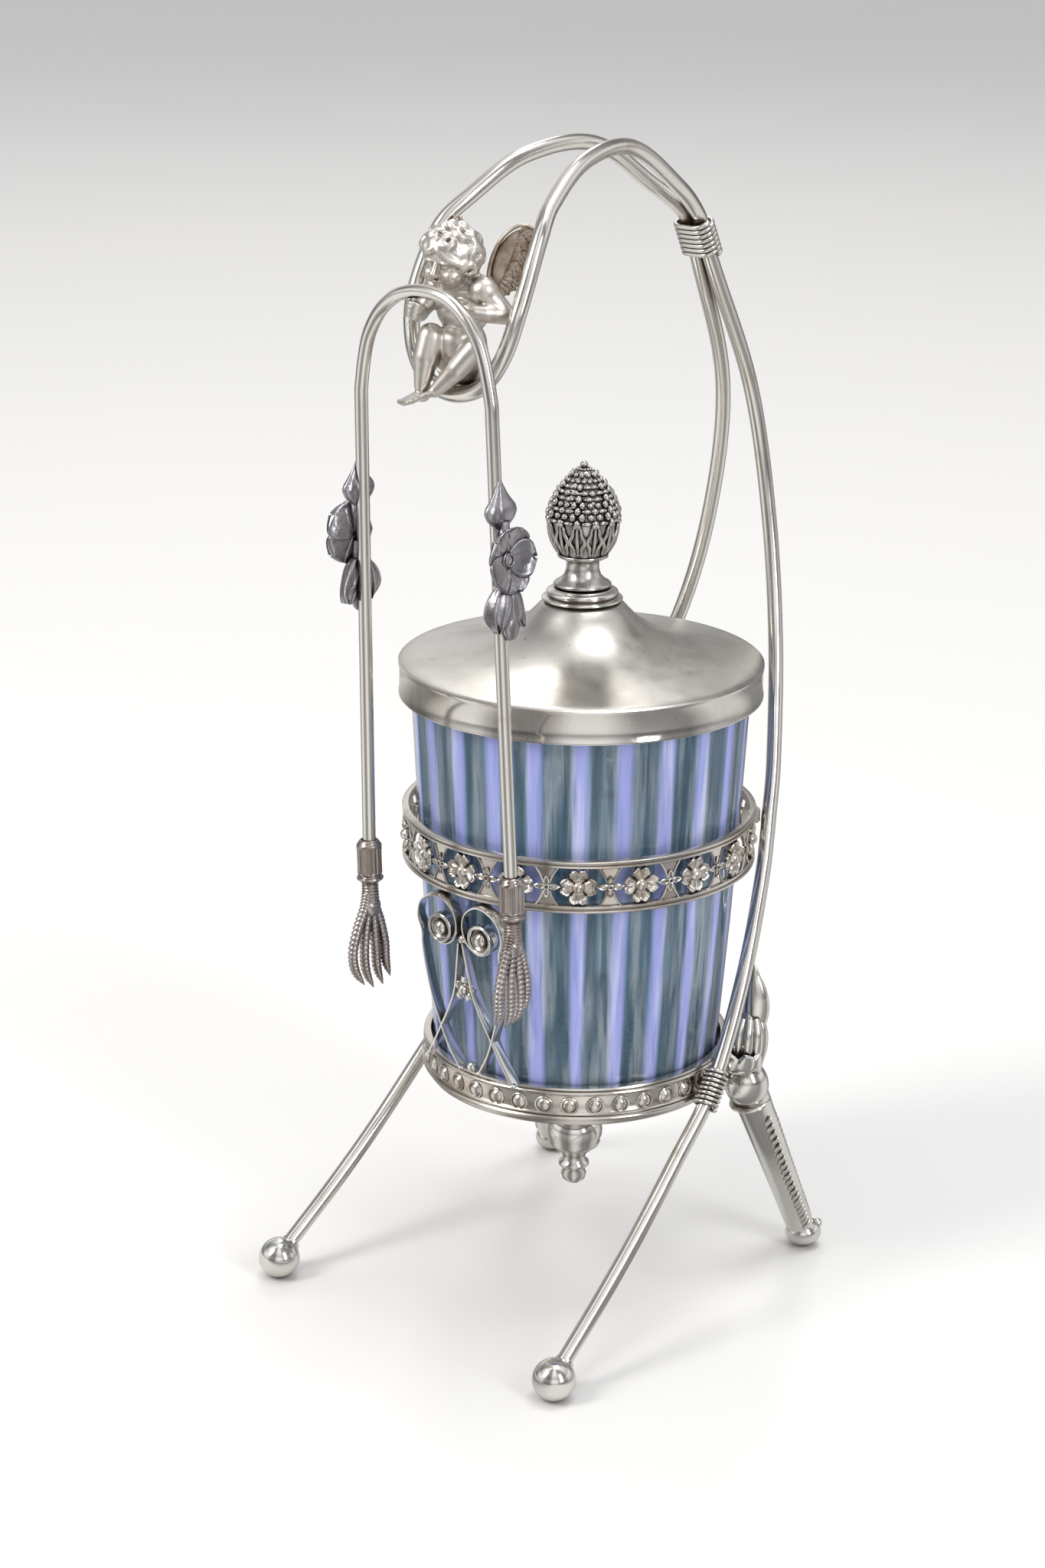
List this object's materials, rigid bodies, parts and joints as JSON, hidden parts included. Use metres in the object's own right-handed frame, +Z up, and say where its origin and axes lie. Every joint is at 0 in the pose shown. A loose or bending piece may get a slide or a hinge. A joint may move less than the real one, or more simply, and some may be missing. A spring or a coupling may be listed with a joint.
{
  "type": "pickle castor",
  "caption": "Table castor: footed wire frame with pierced band, looped handle holding a seated cherub, ribbed striped glass jar with domed lid, and hanging tongs.",
  "frame": {"origin": "on the table, on the jar's axis, within about 1 mm of the centre of the footprint", "axes": "+Z up along the jar's axis, -Y to the front where the tongs hang, +X to the right seen from the front"},
  "size_m": [0.1044, 0.1334, 0.2908],
  "materials": {
    "bright_plate": "polished silver plate, lightly aged",
    "satin_plate": "silver plate worn to a satin with fine scratches",
    "cast_plate": "cast and plated, dull grey with darker recesses",
    "tarnished_plate": "silver plate with brown-gold tarnish in the recesses",
    "plain_steel": "plain steel",
    "striped_glass": "glossy glass with opalescent lavender-blue stripes between clear ribs"
  },
  "bodies": {
    "frame": {"ball_foot_left": "bright_plate", "ball_foot_right": "bright_plate", "band_lug_left": "bright_plate", "band_lug_right": "bright_plate", "cherub": "cast_plate", "cherub_wing_left": "cast_plate", "cherub_wing_right": "cast_plate", "frame_rod_left": "bright_plate", "frame_rod_right": "bright_plate", "front_scroll": "bright_plate", "gallery_band": "tarnished_plate", "handle_hoop": "bright_plate", "pendant_drop": "bright_plate", "rear_leg_left": "cast_plate", "rear_leg_right": "cast_plate", "ring_binding_left": "bright_plate", "ring_binding_right": "bright_plate", "scroll_stud": "bright_plate", "top_binding": "bright_plate", "tray_plate": "bright_plate", "tray_ring": "tarnished_plate", "tray_screw": "plain_steel", "under_dome": "bright_plate"},
    "jar": {"glass_jar": "striped_glass"},
    "lid": {"lid_cap": "satin_plate", "lid_collar": "bright_plate", "finial_pinecone": "cast_plate", "finial_stud": "plain_steel", "finial_nut": "plain_steel"},
    "tongs": {"tong_bow": "bright_plate"},
    "tong_left": {"tong_arm_left": "bright_plate", "tong_ornament_left": "cast_plate", "tong_sleeve_left": "cast_plate", "tong_claw_left": "tarnished_plate"},
    "tong_right": {"tong_arm_right": "bright_plate", "tong_ornament_right": "cast_plate", "tong_sleeve_right": "cast_plate", "tong_claw_right": "tarnished_plate"}
  },
  "joints": [
    {"name": "jar_lift", "type": "slide", "parent": "frame", "child": "jar", "axis": [0, 0, 1], "range_m": [0, 0.03]},
    {"name": "lid_lift", "type": "slide", "parent": "jar", "child": "lid", "axis": [0, 0, 1], "range_m": [0, 0.035]},
    {"name": "tongs_lift", "type": "slide", "parent": "frame", "child": "tongs", "axis": [0, -0.6, 0.8], "range_m": [0, 0.04]},
    {"name": "tong_right_squeeze", "type": "hinge", "parent": "tongs", "child": "tong_right", "pos_m": [0.02107, -0.0578, 0.23811], "axis": [0, 1, 0], "range_deg": [0, 8], "stiffness_Nm_per_rad": 1.5},
    {"name": "tong_left_squeeze", "type": "hinge", "parent": "tongs", "child": "tong_left", "pos_m": [-0.0193, -0.0578, 0.23663], "axis": [0, -1, 0], "range_deg": [0, 8], "stiffness_Nm_per_rad": 1.5}
  ],
  "couplings": [
    {"joint": "tong_left_squeeze", "follows": "tong_right_squeeze", "ratio": 1}
  ]
}
